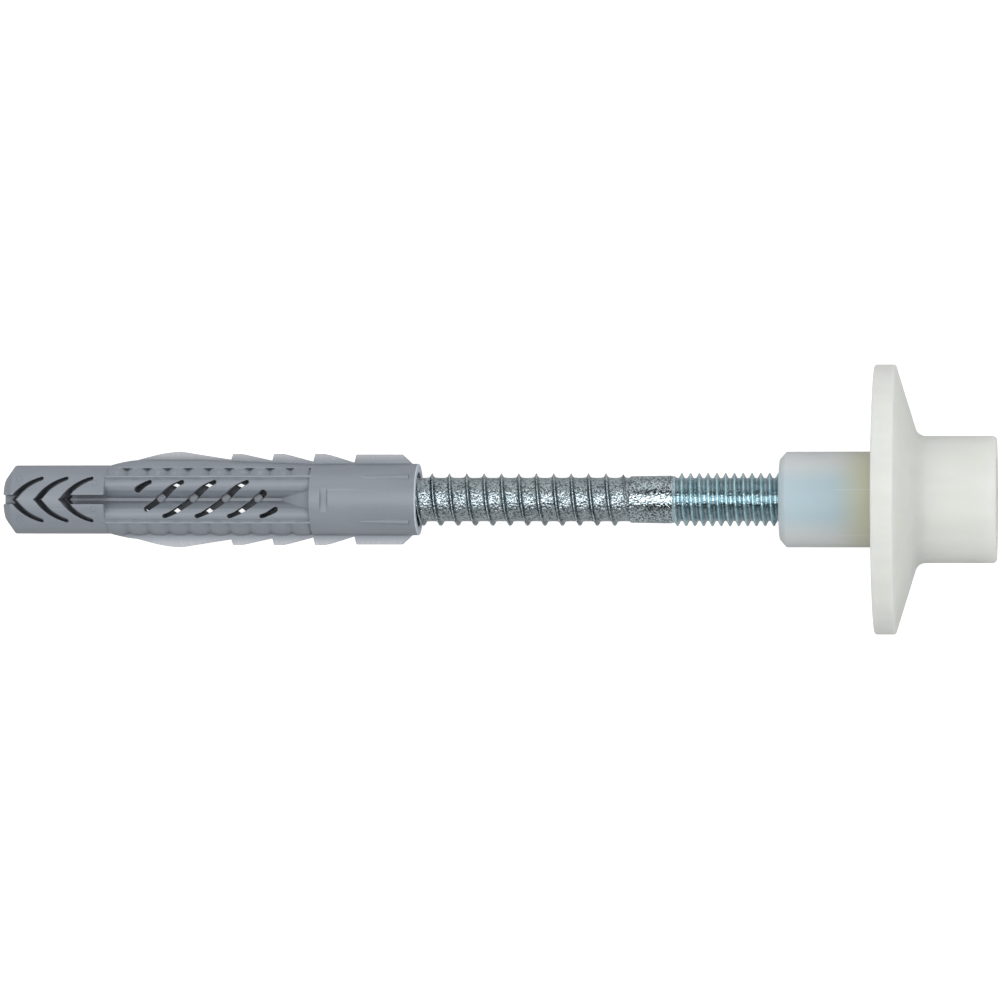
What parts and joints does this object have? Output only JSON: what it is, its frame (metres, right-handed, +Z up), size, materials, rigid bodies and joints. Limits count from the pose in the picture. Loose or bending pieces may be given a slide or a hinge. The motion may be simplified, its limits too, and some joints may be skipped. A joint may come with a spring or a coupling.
{
  "type": "wall plug with hanger screw and flange nut",
  "caption": "Wall fixing: a slit nylon expansion plug with side fins, a double-ended steel hanger screw and a nylon nut with a wide flange.",
  "frame": {"origin": "middle of the bounding box on the surface that the fixing lies on", "axes": "+Z up; the long axis runs in the XZ plane from the plug's nose at -X, which lies on the surface, up to the nut at +X, whose flange lies on its rim; +Y is to the left of someone looking from nose to nut"},
  "size_m": [0.1428, 0.0382, 0.0383],
  "materials": {
    "grey_nylon": "moulded grey nylon, fine satin",
    "zinc_steel": "bright blue-passivated zinc plate",
    "natural_nylon": "natural milky nylon, soft gloss, a little translucent"
  },
  "bodies": {
    "plug": {"wall_plug": "grey_nylon"},
    "screw": {"hanger_screw": "zinc_steel"},
    "nut": {"flange_nut": "natural_nylon"}
  },
  "joints": [
    {"name": "screw_travel", "type": "slide", "parent": "plug", "child": "screw", "axis": [0.9935, 0, 0.1142], "range_m": [0, 0.0177]},
    {"name": "nut_travel", "type": "slide", "parent": "screw", "child": "nut", "axis": [0.9935, 0, 0.1142], "range_m": [-0.0147, 0.0106]}
  ]
}
